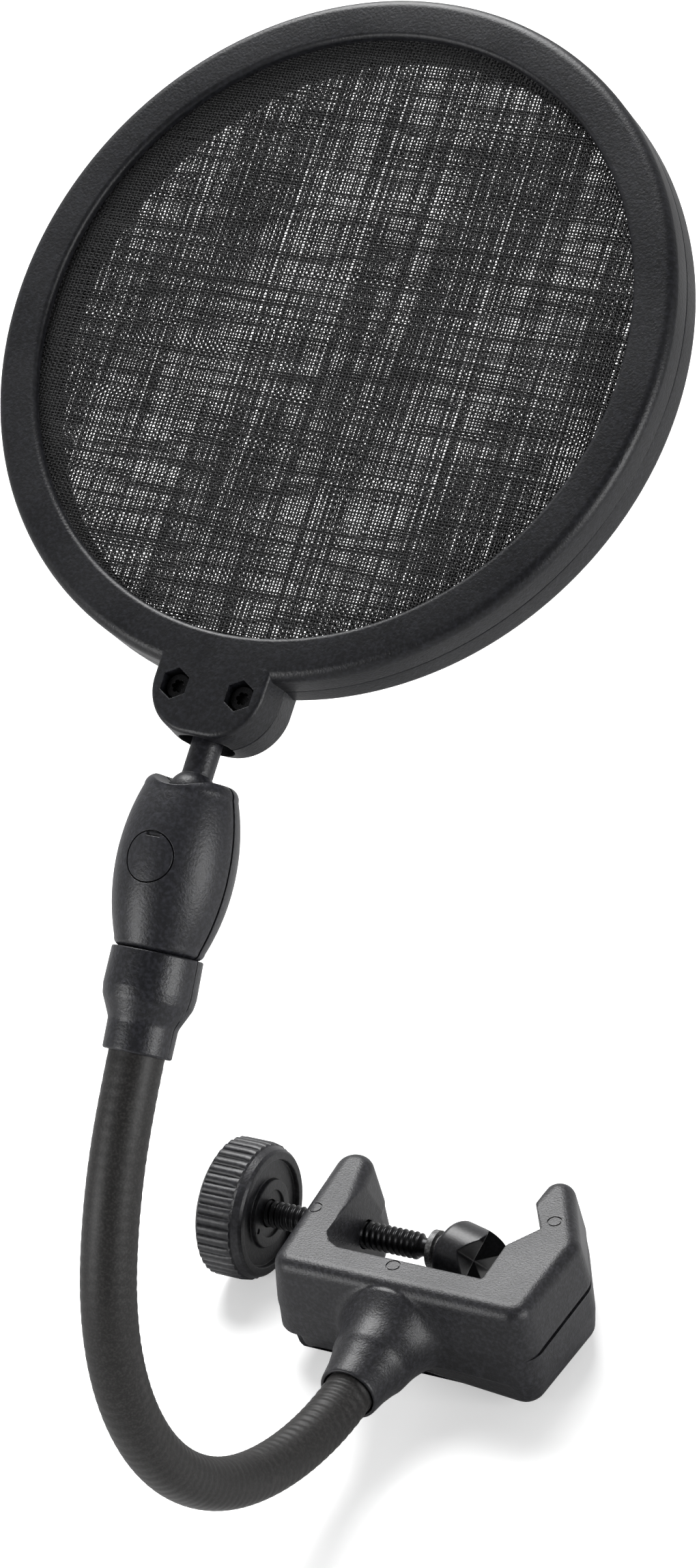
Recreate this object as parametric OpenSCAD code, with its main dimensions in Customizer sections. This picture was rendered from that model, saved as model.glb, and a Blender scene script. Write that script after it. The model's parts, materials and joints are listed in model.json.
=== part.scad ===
// Clamp-on pop filter: a fabric-faced hoop on a double ball link, a friction
// barrel, a flexible neck and a screw clamp for a microphone stand.
// Frame: origin on the floor plane under the clamp screw, midway between the
// jaws. +X runs along the clamp screw, +Y out of the jaws, +Z up.

/* [Hoop] */
// Outer radius of the hoop
hoop_r = 75; // [70:0.5:80]
// Radius of the open fabric window
window_r = 66; // [60:0.5:67]
// Thickness of the closed hoop
hoop_t = 14; // [14:0.5:16]
// Edge rounding of the hoop
hoop_round = 2.3; // [1:0.1:3]
// Width of the tab under the hoop
tab_w = 26.6; // [26:0.2:30]
// Distance from the hoop centre to the end of the tab
tab_reach = 88.3; // [88:0.1:92]
// Distance from the hoop centre to the tab screws
tab_screw_reach = 78.2; // [78:0.1:79]
// Spacing of the two tab screws
tab_screw_gap = 15; // [14.6:0.2:15.4]

/* [Hoop pose] */
// Lean of the hoop back from upright
hoop_lean = 52.1; // [48:0.1:58]
// Sideways turn of the hoop on its link
hoop_tilt = 2; // [-4:0.5:4]

/* [Ball link] */
// Radius of both balls
ball_r = 5; // [4.8:0.1:5]
// Radius of the stem between the balls
stem_r = 3.2; // [2.5:0.1:3.4]
// Distance between the ball centres
link_len = 16; // [16:0.5:20]
// Lean of the link back from upright
link_lean = 54.2; // [48:0.1:58]

/* [Barrel] */
// Greatest radius of the barrel
barrel_r = 12.1; // [12:0.1:13.5]
// Length of the barrel below the lower ball centre
barrel_len = 32.2; // [31:0.1:34]
// Radius of the curve down the barrel's side
barrel_curve = 46; // [44:1:80]
// Lean of the barrel back from upright
barrel_lean = 42.7; // [42.7:0.1:42.7]
// Radius of the round screw cover
cap_r = 5; // [4.6:0.1:5.6]

/* [Neck] */
// Radius of the neck's sleeve
neck_r = 5.72; // [5.5:0.01:5.8]
// Radius of the steel coil inside the sleeve
coil_r = 4; // [3:0.1:4.2]
// Length of each of the five middle stretches of the neck
stretch_len = 31.55; // [28:0.05:34]
// Largest bend between two stretches that the clearances allow
neck_flex = 28; // [15:1:30]

/* [Clamp] */
// Overall height of the clamp
clamp_t = 27; // [27:0.5:30]
// Height of the seam, the screw and the neck above the underside
seam_z = 13.3; // [13:0.1:14]
// Half the width of the gap between the jaws
gap_half = 18.4; // [17:0.1:20]
// Depth of the V in the fixed jaw
vee_depth = 5.3; // [4:0.1:6]
// Half the width of the V in the fixed jaw
vee_half = 7.9; // [7:0.1:8.5]
// Rounding of the clamp's top edges
clamp_round = 3.4; // [2:0.1:3.6]

/* [Clamp screw] */
// Outer radius of the rod's thread
rod_r = 3.25; // [3:0.05:3.5]
// Pitch of the rod's thread
rod_pitch = 1.5; // [1.25:0.25:1.75]
// Greatest radius of the knob
knob_r = 16.5; // [15:0.1:18]
// Number of ribs round the knob
knob_ribs = 40; // [30:1:48]
// Radius of the swivel pad
pad_r = 7.9; // [7.5:0.1:8.5]
// Depth of the crossed grooves in the pad
groove_depth = 3.3; // [2.5:0.1:4]

/* [Hidden] */
$fn = 96;

// Running clearance between parts that turn in each other, on the radius
run = 0.05;
// Gap left between parts that are fixed together
fit = 0.02;

plastic = [0.13, 0.13, 0.14];
sleeve_black = [0.1, 0.09, 0.09];
steel = [0.6, 0.6, 0.62];
nylon = [0.16, 0.16, 0.17];

// Neck path: it leaves the boss towards -Y and curves up in the plane
// x = neck_x. Headings are in degrees from +Y towards +Z.
neck_x = -1.8;
mouth_y = -50.9;
stretch_lens = [14.2, stretch_len, stretch_len, stretch_len, stretch_len, stretch_len, 12.6];
stretch_turns = [11.4, 20.4, 24.1, 26.7, 29.1, 17.9, 3.1];
function heading(i) = i == 0 ? 180 : heading(i - 1) - stretch_turns[i - 1];
function bend_r(i) = stretch_lens[i] / (stretch_turns[i] * PI / 180);
function pivot(i) = i == 0
    ? [mouth_y, seam_z]
    : bend_centre(i - 1) + bend_r(i - 1) * [-sin(heading(i)), cos(heading(i))];
function bend_centre(i) = pivot(i) + bend_r(i) * [sin(heading(i)), -cos(heading(i))];

// Barrel frame: origin at the lower ball, local +Z along the barrel
collar_end = pivot(7);
collar_len = 20;
barrel_dir = [0, sin(barrel_lean), cos(barrel_lean)];
barrel_drop = barrel_len + 0.4 + collar_len;
lower_ball = [neck_x, collar_end[0], collar_end[1]] + barrel_drop * barrel_dir;
upper_ball = lower_ball + link_len * [0, sin(link_lean), cos(link_lean)];
ball_reach = 82.5;

module at_barrel() {
    translate(lower_ball) rotate([-barrel_lean, 0, 0]) children();
}

module at_hoop() {
    translate(upper_ball)
        rotate([90 - hoop_lean, 0, 0])
            rotate([0, 0, -hoop_tilt])
                translate([0, ball_reach, 0]) children();
}

// ---------------------------------------------------------------- hoop

ring_half = hoop_t / 2;
lip_t = 2.2;
mesh_t = 0.25;
seat_r = window_r + 2.6;
tab_corner = 11;
nut_flats = 5.8;
pocket_depth = 3.8;
seat_wall = 0.8;
seat_outer_r = ball_r + run + seat_wall;

// Section of one ring half, radius across and hoop axis up
module ring_section() {
    lip_round = 1.1;
    difference() {
        union() {
            translate([window_r + lip_round, 0])
                square([hoop_r - hoop_round - window_r - lip_round, ring_half]);
            translate([window_r, 0]) square([lip_round + 0.1, ring_half - lip_round]);
            translate([hoop_r - hoop_round - 0.1, 0])
                square([hoop_round + 0.1, ring_half - hoop_round]);
            translate([hoop_r - hoop_round, ring_half - hoop_round]) circle(hoop_round);
            translate([window_r + lip_round, ring_half - lip_round]) circle(lip_round);
        }
        translate([window_r - 1, -1]) square([seat_r - window_r + 1, ring_half - lip_t + 1]);
        translate([window_r, -hoop_t]) square([20, hoop_t]);
    }
}

// Outline of the tab, drawn out to the ring so that the two merge
module tab_block(inset, height) {
    top = -(hoop_r - 3);
    half = tab_w / 2 - inset;
    bottom = -tab_reach + inset;
    corner = tab_corner - inset;
    linear_extrude(height) union() {
        translate([-half, bottom + corner]) square([2 * half, top - bottom - corner]);
        translate([-half + corner, bottom]) square([2 * (half - corner), corner + 1]);
        for (side = [-1, 1])
            translate([side * (half - corner), bottom + corner]) circle(corner);
    }
}

// Tab body with drafted sides and a rounded face edge
module tab_half() {
    step_count = 5;
    draft = 0.5;
    edge = 1;
    union() {
        for (i = [0 : step_count - 1])
            tab_block(draft * i / step_count, (ring_half - edge) * (i + 1) / step_count);
        for (i = [1 : step_count]) {
            angle = i * 90 / step_count;
            tab_block(draft + edge * (1 - cos(angle)), ring_half - edge * (1 - sin(angle)));
        }
    }
}

module hex_pocket(flats, depth) {
    cylinder(r = flats / sqrt(3), h = depth, $fn = 6);
}

// One half of the hoop: both halves come from the same tool
module ring_half_body() {
    difference() {
        union() {
            rotate_extrude($fn = 180) ring_section();
            difference() {
                tab_half();
                translate([0, 0, -1]) cylinder(r = hoop_r - 4, h = hoop_t, $fn = 180);
            }
        }
        for (side = [-1, 1])
            translate([side * tab_screw_gap / 2, -tab_screw_reach, 0]) {
                translate([0, 0, -1]) cylinder(r = 1.35, h = hoop_t);
                translate([0, 0, ring_half - pocket_depth]) rotate([0, 0, 30])
                    hex_pocket(nut_flats, hoop_t);
            }
        translate([0, -ball_reach, 0]) {
            sphere(r = seat_outer_r + fit);
            rotate([90, 0, 0]) cylinder(r = seat_outer_r + 0.1, h = 20);
        }
    }
}

module front_ring() {
    color(plastic) at_hoop() translate([0, 0, fit / 2]) ring_half_body();
}

module rear_ring() {
    color(plastic) at_hoop() mirror([0, 0, 1]) translate([0, 0, fit / 2]) ring_half_body();
}

// Fabric discs lie against the lips of the two halves
mesh_z = ring_half - lip_t - mesh_t - fit;
module mesh_disc() {
    translate([0, 0, mesh_z]) cylinder(r = seat_r - 0.2, h = mesh_t, $fn = 180);
}

module front_mesh() {
    color(nylon) at_hoop() mesh_disc();
}

module rear_mesh() {
    color(nylon) at_hoop() mirror([0, 0, 1]) mesh_disc();
}

module spacer_ring() {
    spacer_half = mesh_z - fit;
    color(plastic) at_hoop()
        translate([0, 0, -spacer_half]) difference() {
            cylinder(r = seat_r - 0.1, h = 2 * spacer_half, $fn = 180);
            translate([0, 0, -1]) cylinder(r = window_r + 0.3, h = hoop_t + 2, $fn = 180);
        }
}

// Pan-head screw with a six-lobe recess, head up, seated at z = 0
module lobed_screw(head_r, head_h, shank_r, shank_len) {
    lobe_r = head_r * 0.2;
    lobe_ring = head_r * 0.38;
    difference() {
        union() {
            cylinder(r = head_r, h = head_h);
            translate([0, 0, -shank_len]) cylinder(r = shank_r, h = shank_len + 0.1);
        }
        translate([0, 0, head_h * 0.35]) {
            cylinder(r = lobe_ring, h = head_h);
            for (i = [0 : 5])
                rotate([0, 0, i * 60]) translate([lobe_ring, 0, 0])
                    cylinder(r = lobe_r, h = head_h, $fn = 24);
        }
    }
}

// Hexagonal nut with its bore, standing on z = 0
module hex_nut(flats, height, bore_r) {
    difference() {
        hex_pocket(flats, height);
        translate([0, 0, -1]) cylinder(r = bore_r, h = height + 2);
    }
}

tab_shank_r = 1.2;
module tab_screws() {
    color(steel) at_hoop()
        for (side = [-1, 1])
            translate([side * tab_screw_gap / 2, -tab_screw_reach, ring_half - pocket_depth + 2 * fit])
                lobed_screw(2.5, 2, tab_shank_r, hoop_t - 2 * pocket_depth + 3);
}

module tab_nuts() {
    color(steel) at_hoop()
        for (side = [-1, 1])
            translate([side * tab_screw_gap / 2, -tab_screw_reach, -ring_half + pocket_depth - 2 * fit])
                mirror([0, 0, 1]) rotate([0, 0, 30])
                    hex_nut(nut_flats - 0.3, 2.2, tab_shank_r + run);
}

// ---------------------------------------------------------------- ball link

// Nylon seat that lines the ball pocket in the tab
module hoop_ball_seat() {
    seat_skirt = 1.5;
    color(nylon) at_hoop() translate([0, -ball_reach, 0]) rotate([-90, 0, 0])
        rotate_extrude() intersection() {
            difference() {
                circle(seat_outer_r);
                circle(ball_r + run);
            }
            translate([0, -seat_skirt]) square([20, 20]);
        }
}

module ball_link() {
    color(plastic)
        translate(lower_ball) rotate([-link_lean, 0, 0]) {
            sphere(r = ball_r);
            cylinder(r = stem_r, h = link_len);
            translate([0, 0, link_len]) sphere(r = ball_r);
        }
}

// ---------------------------------------------------------------- barrel

barrel_top = 2.9;
barrel_mid = -14.6;
barrel_curve_x = barrel_r - barrel_curve;
function barrel_side(z) = barrel_curve_x + sqrt(pow(barrel_curve, 2) - pow(z - barrel_mid, 2));
cup_bore = 5.6;
cup_floor = -8.6;
ferrule_r = 6.5;
ferrule_top = -22;
flange_r = 7.8;
flange_z = -27;
barrel_screw_z = -14.2;
barrel_shank_r = 1.9;
barrel_head_r = 3.5;
barrel_nut_y = 6.6;
barrel_nut_flats = 7;
head_pocket_y = 8.6;
cap_seat_y = head_pocket_y + 1.9;
link_opening_r = 4.7;

// Solid barrel, turned about local Z
module barrel_blank() {
    edge = 2.6;
    arc_steps = 24;
    zs = [for (i = [0 : arc_steps]) -barrel_len + i * (barrel_len + barrel_top - edge) / arc_steps];
    rotate_extrude() polygon(concat(
        [[0, -barrel_len]],
        [for (z = zs) [barrel_side(z), z]],
        [for (a = [15 : 15 : 90])
            [barrel_side(barrel_top - edge) - edge * (1 - cos(a)), barrel_top - edge * (1 - sin(a))]],
        [[0, barrel_top]]
    ));
}

// Ball pocket, cup bore, neck seat and screw recess, with a scallop across
// the top that lets the link lean
module barrel_hollow() {
    scallop_r = 11;
    scallop_depth = 2.1;
    translate([0, 0, barrel_top + scallop_r - scallop_depth]) rotate([90, 0, 0])
        translate([0, 0, -20]) cylinder(r = scallop_r, h = 40);
    sphere(r = ball_r + run);
    translate([0, 0, cup_floor]) cylinder(r = cup_bore, h = -cup_floor);
    cylinder(r = link_opening_r, h = 10);
    translate([0, 0, -barrel_len - 1]) cylinder(r = ferrule_r + fit, h = barrel_len + 1 + ferrule_top);
    translate([0, 0, flange_z - fit]) cylinder(r = flange_r + fit, h = 1.6 + 2 * fit);
    translate([0, 0, barrel_screw_z]) {
        rotate([90, 0, 0]) translate([0, 0, -20]) cylinder(r = barrel_shank_r + 0.1, h = 40);
        rotate([90, 0, 0]) translate([0, 0, head_pocket_y - 2]) cylinder(r = barrel_head_r + 0.2, h = 20);
        rotate([90, 0, 0]) translate([0, 0, cap_seat_y]) cylinder(r = cap_r + 0.1, h = 20);
        rotate([-90, 0, 0]) translate([0, 0, barrel_nut_y]) hex_pocket(barrel_nut_flats + 0.2, 20);
    }
}

module barrel_half(side) {
    at_barrel() intersection() {
        difference() {
            barrel_blank();
            barrel_hollow();
        }
        translate([-30, side > 0 ? fit : -60 - fit, -50]) cube([60, 60, 100]);
    }
}

module barrel_front_shell() {
    color(plastic) barrel_half(-1);
}

module barrel_rear_shell() {
    color(plastic) barrel_half(1);
}

// Friction cup under the lower ball
module friction_cup() {
    cup_top = -1.4;
    color(nylon) at_barrel() difference() {
        translate([0, 0, -7]) cylinder(r = cup_bore - run, h = 7 + cup_top);
        sphere(r = ball_r + run);
    }
}

// Conical spring washer that presses the cup up
module cup_spring_washer() {
    color(steel) at_barrel() translate([0, 0, cup_floor + fit])
        rotate_extrude() polygon([[2.2, 0.9], [2.2, 1.5], [5.4, 0.6], [5.4, 0]]);
}

module barrel_screw() {
    color(steel) at_barrel() translate([0, -head_pocket_y + 2 - fit, barrel_screw_z])
        rotate([90, 0, 0]) lobed_screw(barrel_head_r, 1.8, barrel_shank_r, 15.5);
}

module barrel_nut() {
    color(steel) at_barrel() translate([0, barrel_nut_y + fit, barrel_screw_z])
        rotate([-90, 0, 0]) hex_nut(barrel_nut_flats, 2.8, barrel_shank_r + run);
}

// Round cover over the barrel screw, flush with the barrel's curve
module screw_cap() {
    notch_w = 3.2;
    color(plastic) at_barrel() difference() {
        intersection() {
            barrel_blank();
            translate([0, -cap_seat_y - fit, barrel_screw_z])
                rotate([90, 0, 0]) cylinder(r = cap_r, h = 20);
        }
        // pry notch
        translate([-notch_w / 2, -barrel_r - 1, barrel_screw_z + cap_r - 0.7])
            cube([notch_w, 1.7, 3]);
    }
}

// ---------------------------------------------------------------- neck

// Step down in radius where a bend runs on into a straight end
inset = 0.15;
neck_ball_r = neck_r - 0.03;

module at_bend(i) {
    translate([neck_x, bend_centre(i)[0], bend_centre(i)[1]]) rotate([90, 0, 90]) children();
}

// A round bar along stretch i, run on by extra degrees at each end
module bend_bar(i, r, extra_start = 0, extra_end = 0) {
    at_bend(i)
        rotate([0, 0, heading(i + 1) + 90 - extra_end])
            rotate_extrude(angle = stretch_turns[i] + extra_start + extra_end, $fn = 180)
                translate([bend_r(i), 0]) circle(r, $fn = 48);
}

module at_pivot(i) {
    translate([neck_x, pivot(i)[0], pivot(i)[1]])
        rotate([heading(i) - 90, 0, 0]) children();
}

// Degrees of bend i that a given length covers
function span(i, len) = len / bend_r(i) * 180 / PI;

// Sleeve stretch: a ball at its far end rocks in the next stretch's socket
module sleeve_stretch(i) {
    difference() {
        union() {
            bend_bar(i, neck_r);
            if (i < 6) at_pivot(i + 1) sphere(r = neck_ball_r);
            if (i == 6) at_pivot(7) translate([0, 0, -0.5]) cylinder(r = neck_r - inset, h = 5.5);
            if (i == 0) at_pivot(0) translate([0, 0, -4]) cylinder(r = neck_r - inset, h = 4.5);
        }
        if (i > 0) {
            at_pivot(i) sphere(r = neck_ball_r + run);
            at_pivot(i) translate([0, 0, -20])
                cylinder(r = 2 * neck_r, h = 20 + neck_r * sin(neck_flex));
        }
        bend_bar(i, coil_r + fit, i > 0 ? span(i, 1) : 0, 0);
        if (i == 0) at_pivot(0) translate([0, 0, -5]) cylinder(r = coil_r - inset + fit, h = 5.5);
        if (i < 6) at_pivot(i + 1) translate([0, 0, -0.5]) cylinder(r = coil_r - inset, h = 20);
        if (i == 6) at_pivot(7) translate([0, 0, -0.5]) cylinder(r = coil_r - inset + fit, h = 6);
    }
}

// Coil stretch inside the sleeve, starting clear of the socket's ball
module coil_stretch(i) {
    coil_start = neck_r + 0.1;
    union() {
        bend_bar(i, coil_r, i > 0 ? -span(i, coil_start) : 0, 0);
        if (i == 0) at_pivot(0) translate([0, 0, -14]) cylinder(r = coil_r - inset, h = 14.5);
        if (i == 6) at_pivot(7) translate([0, 0, -0.5]) cylinder(r = coil_r - inset, h = 20);
    }
}

module neck_sleeve(i) {
    color(sleeve_black) sleeve_stretch(i);
}

module neck_coil(i) {
    color(steel) coil_stretch(i);
}

// Cuff that covers the joint of neck and barrel
module neck_collar() {
    top_z = -barrel_len - 0.4;
    bottom_z = top_z - collar_len;
    color(plastic) at_barrel() difference() {
        translate([0, 0, bottom_z]) rotate_extrude() polygon([
            [0, 0], [6.7, 0], [7, 0.4], [7.1, 6],
            [7.6, 7.4], [8.7, 9.4], [9.3, 11], [9.5, 12.6],
            [9.3, 19.6], [8.9, 20], [0, 20]
        ]);
        translate([0, 0, bottom_z - 1]) cylinder(r = neck_r + fit, h = 12);
        translate([0, 0, bottom_z + 6]) cylinder(r = ferrule_r + fit, h = 20);
    }
}

// Crimped steel end of the neck, held by its flange in the barrel
module upper_ferrule() {
    ferrule_foot = -46;
    color(steel) at_barrel() difference() {
        union() {
            translate([0, 0, ferrule_foot]) cylinder(r = ferrule_r, h = ferrule_top - ferrule_foot);
            translate([0, 0, flange_z]) cylinder(r = flange_r, h = 1.6);
        }
        translate([0, 0, ferrule_foot - 1]) cylinder(r = coil_r - inset + fit, h = 16);
    }
}

// ---------------------------------------------------------------- clamp

boss_bore = 6.1;
spine_front = -30.2;
slot_front = -19.9;
wall_left = -33.3;
wall_right = 35.2;
wall_right_front = 34;
jaw_tip_left = 14.4;
jaw_tip_right = 18.9;
nut_x = -31.5;
nut_w = 5.6;
rod_hole = rod_r + 0.2;
nut_flats_jaw = 11;
lower_ferrule_r = 5.5;
lower_flange_r = 7.5;
ferrule_back = 20;
clamp_head_r = 2.8;
clamp_shank_r = 1.5;
clamp_head_depth = 3;
screw_sites = [[-27, -23], [27, -22], [-29.2, 8.4], [28.6, 2.4]];

// A rounded post of the clamp's upper half, from the seam to the top
module upper_post(x, y, r) {
    draft = 1;
    top_r = min(r - draft, clamp_round);
    translate([x, y, 0]) {
        translate([0, 0, seam_z]) cylinder(r = r, h = 0.5, $fn = 32);
        translate([0, 0, clamp_t - top_r]) rotate_extrude($fn = 32) intersection() {
            translate([r - draft - top_r, 0]) circle(top_r, $fn = 32);
            square([r, top_r]);
        }
        translate([0, 0, clamp_t - 1]) cylinder(r = r - draft - top_r + 0.1, h = 1, $fn = 32);
    }
}

// A post of the clamp's lower half, drawn in by undercut at its foot
module lower_post(x, y, r, undercut) {
    foot_z = 6.3;
    translate([x, y, 0]) {
        translate([0, 0, seam_z - 0.5]) cylinder(r = r - 0.2, h = 0.5, $fn = 32);
        translate([0, 0, foot_z]) cylinder(r = r, h = 0.5, $fn = 32);
        translate([0, 0, 1]) cylinder(r = r - 0.3 - undercut, h = 0.5, $fn = 32);
        cylinder(r = r - 1 - undercut, h = 0.5, $fn = 32);
    }
}

// Boss that takes the neck, flaring into the spine without reaching the floor
module boss() {
    mouth_r = 6.8;
    root_r = 12.6;
    wall_y = -spine_front - 1;
    flare_end = 9;
    translate([neck_x, 0, seam_z]) rotate([90, 0, 0]) rotate_extrude() polygon(concat(
        [[0, wall_y - 4], [root_r, wall_y - 4]],
        [for (t = [0 : 0.1 : 1]) [
            root_r - (root_r - 9.6) * sin(90 * t),
            wall_y + flare_end * t]],
        [[7.6, 46], [mouth_r + 0.2, -mouth_y - 0.5], [mouth_r, -mouth_y], [0, -mouth_y]]
    ));
}

// Everything the two clamp halves leave open inside
module clamp_hollow() {
    // rod passage and its nut pocket in the left jaw
    translate([wall_left - 5, 0, seam_z]) rotate([0, 90, 0]) cylinder(r = rod_hole, h = 25);
    translate([nut_x, 0, seam_z]) rotate([0, 90, 0]) hex_pocket(nut_flats_jaw + 0.2, nut_w + 2 * fit);
    // neck mouth and lower ferrule
    translate([neck_x, mouth_y + 6, seam_z]) rotate([90, 0, 0]) cylinder(r = boss_bore, h = 10);
    translate([neck_x, mouth_y + ferrule_back, seam_z]) rotate([90, 0, 0])
        cylinder(r = lower_ferrule_r + fit, h = 15);
    translate([neck_x, mouth_y + ferrule_back - 2, seam_z]) rotate([90, 0, 0])
        cylinder(r = lower_flange_r + fit, h = 1.6 + 2 * fit);
    for (site = screw_sites)
        translate([site[0], site[1], 0]) {
            translate([0, 0, -1]) cylinder(r = clamp_shank_r + 0.1, h = seam_z + 8);
            translate([0, 0, -1]) cylinder(r = clamp_head_r + 0.2, h = clamp_head_depth + 1);
        }
    // gap for the stand, with the V in the fixed jaw
    translate([0, 0, -1]) linear_extrude(clamp_t + 2) polygon([
        [-gap_half - 0.2, slot_front], [gap_half, slot_front],
        [gap_half, -vee_half], [gap_half + vee_depth, 0], [gap_half, vee_half],
        [gap_half - 0.5, 40], [-gap_half - 5, 40],
        [-gap_half - 4.9, slot_front + 4], [-gap_half - 2.8, slot_front + 1.4]
    ]);
}

// Walls of one half: each hull joins posts given as [x, y, radius, undercut].
// Posts that reach into the gap are trimmed by it, which leaves a crisp edge.
module posts(upper, list) {
    hull() for (p = list)
        if (upper) upper_post(p[0], p[1], p[2]); else lower_post(p[0], p[1], p[2], p[3]);
}

module clamp_walls(upper) {
    front = spine_front + 6;
    front_left = [wall_left + 6, front, 6, 0.3];
    front_right = [wall_right_front - 6, front, 6, 1];
    inner_left = [wall_left + 10, slot_front + 2, 6, 0.3];
    inner_right = [gap_half + 1, slot_front + 2, 6, 0.4];
    elbow_right = [wall_right - 7.5, -3, 7.5, 0.4];
    inner_elbow = [gap_half + 2, -3, 7, 0.4];
    tip_left = [-29.4, jaw_tip_left - 5.7, 5.7, 0.6];
    tip_right = [21.2, jaw_tip_right - 4.9, 4.9, 0.6];
    posts(upper, [front_left, front_right, inner_left, inner_right]);
    posts(upper, [front_left, inner_left, tip_left]);
    posts(upper, [front_right, inner_right, elbow_right, inner_elbow]);
    posts(upper, [elbow_right, inner_elbow, tip_right]);
}

module clamp_half(upper) {
    difference() {
        union() {
            clamp_walls(upper);
            boss();
        }
        clamp_hollow();
        // the other half's side of the seam
        if (upper) translate([-60, -80, seam_z + fit - 80]) cube([120, 120, 80]);
        if (!upper) translate([-60, -80, seam_z - fit]) cube([120, 120, 80]);
    }
}

module clamp_upper() {
    pin_mark_r = 1.7;
    color(plastic) difference() {
        clamp_half(true);
        for (mark = [[-30, -9], [-3, -22], [25.6, 3]])
            translate([mark[0], mark[1], clamp_t - 0.15]) difference() {
                cylinder(r = pin_mark_r, h = 1);
                translate([0, 0, -1]) cylinder(r = pin_mark_r - 0.25, h = 3);
            }
    }
}

module clamp_lower() {
    color(plastic) clamp_half(false);
}

module clamp_screws() {
    color(steel)
        for (site = screw_sites)
            translate([site[0], site[1], clamp_head_depth - fit]) mirror([0, 0, 1])
                lobed_screw(clamp_head_r, 1.8, clamp_shank_r, seam_z + 2);
}

module lower_ferrule() {
    color(steel) translate([neck_x, mouth_y + ferrule_back - fit, seam_z]) rotate([90, 0, 0]) difference() {
        union() {
            cylinder(r = lower_ferrule_r, h = 14);
            translate([0, 0, 2 + fit]) cylinder(r = lower_flange_r, h = 1.6);
        }
        translate([0, 0, 4]) cylinder(r = coil_r - inset + fit, h = 20);
    }
}

// Threaded insert: its bore clears the crests of the rod's thread
module jaw_nut() {
    color([0.75, 0.6, 0.3]) translate([nut_x + fit, 0, seam_z]) rotate([0, 90, 0])
        hex_nut(nut_flats_jaw, nut_w, rod_r + run);
}

// ---------------------------------------------------------------- clamp screw

knob_x = -61.5;
knob_len = 12.8;
rod_start = -57.5;
thread_end = -8.5;
washer_x = -6;
pivot_x = 1;
rod_ball_r = 2.6;
rod_neck_r = 2.2;
pad_back = -2.4;
pad_front = 7.4;
pad_yaw = -15;
pad_roll = -9;
rod_head_flats = 10;
rod_head_len = 3.9;
thread_from = 12.5;

// Turned along +X from a profile of [along, radius] points
module turned(points) {
    rotate([0, 90, 0]) rotate_extrude() polygon([for (p = points) [p[1], p[0]]]);
}

module thumb_knob() {
    rib_h = 0.45;
    color(plastic) translate([knob_x, 0, seam_z]) difference() {
        union() {
            turned([[0, 0], [0, 13.2], [0.5, 14.6], [1.5, knob_r - 0.95], [10.2, knob_r - rib_h],
                [10.5, knob_r - 0.8], [11.3, 15.6], [12.3, 15.1], [knob_len, 14.5], [knob_len, 0]]);
            for (i = [0 : knob_ribs - 1])
                rotate([i * 360 / knob_ribs, 0, 0])
                    translate([1.6, -0.5, knob_r - 3]) cube([8.5, 1, 3 - rib_h / 4]);
        }
        // ring recess around the hub
        translate([knob_len - 1.2, 0, 0]) rotate([0, 90, 0]) difference() {
            cylinder(r = 12.9, h = 3);
            translate([0, 0, -1]) cylinder(r = 8.2, h = 5);
        }
        translate([knob_len - 0.6, 0, 0]) rotate([0, 90, 0]) cylinder(r = 5.6, h = 3);
        translate([rod_start - knob_x - fit, 0, 0]) rotate([0, 90, 0]) cylinder(r = rod_r + fit, h = 20);
        translate([rod_start - knob_x - fit, 0, 0]) rotate([0, 90, 0])
            hex_pocket(rod_head_flats + 2 * fit, rod_head_len + 0.1);
    }
}

module threaded_rod() {
    turns = floor((thread_end - rod_start - thread_from) / rod_pitch);
    root_r = rod_r - 0.6;
    crest = rod_pitch / 8;
    thread = [for (i = [0 : turns - 1]) each [
        [thread_from + i * rod_pitch, root_r],
        [thread_from + (i + 0.5) * rod_pitch - crest, rod_r],
        [thread_from + (i + 0.5) * rod_pitch + crest, rod_r],
        [thread_from + (i + 1) * rod_pitch, root_r]
    ]];
    color(steel) translate([rod_start, 0, seam_z]) {
        rotate([0, 90, 0]) hex_pocket(rod_head_flats, rod_head_len);
        turned(concat([[rod_head_len - 0.1, 0], [rod_head_len - 0.1, rod_r]],
            [[thread_from - 0.1, rod_r]], thread,
            [[thread_end - rod_start, rod_neck_r], [pivot_x - rod_start - 1, rod_neck_r],
                [pivot_x - rod_start - 1, 0]]));
        translate([pivot_x - rod_start, 0, 0]) sphere(r = rod_ball_r);
    }
}

// Thrust washer on the rod's plain neck
module pad_washer() {
    color(nylon) translate([washer_x, 0, seam_z]) rotate([0, 90, 0]) difference() {
        union() {
            cylinder(r = 4.6, h = 1.4);
            cylinder(r = 3.6, h = 2);
        }
        translate([0, 0, -1]) cylinder(r = rod_neck_r + run, h = 5);
    }
}

// Pad that swivels on the rod's ball, with crossed V grooves in its face
module swivel_pad() {
    reach = 3 * pad_r;
    back_round = 1.2;
    groove_half = 1.122 * pad_r;    // half the groove's width at twice its depth
    mouth_r = 4.6;                  // opening in which the rod's end leans
    throat_r = 2.2;
    mouth_len = 3.2;
    color(plastic) translate([pivot_x, 0, seam_z]) rotate([0, 0, pad_yaw]) rotate([pad_roll, 0, 0])
        difference() {
            turned([[pad_back, 0], [pad_back, pad_r - back_round], [pad_back + 0.4, pad_r - 0.4],
                [pad_back + back_round, pad_r], [pad_front, pad_r], [pad_front, 0]]);
            for (turn = [45, 135])
                rotate([turn, 0, 0]) translate([pad_front - groove_depth, 0, -reach / 2])
                    linear_extrude(reach) polygon([[0, 0], [2 * groove_depth, -groove_half],
                        [2 * groove_depth, groove_half]]);
            sphere(r = rod_ball_r + run);
            translate([pad_back - 1, 0, 0]) rotate([0, 90, 0])
                cylinder(r1 = mouth_r, r2 = throat_r, h = mouth_len);
        }
}

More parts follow.
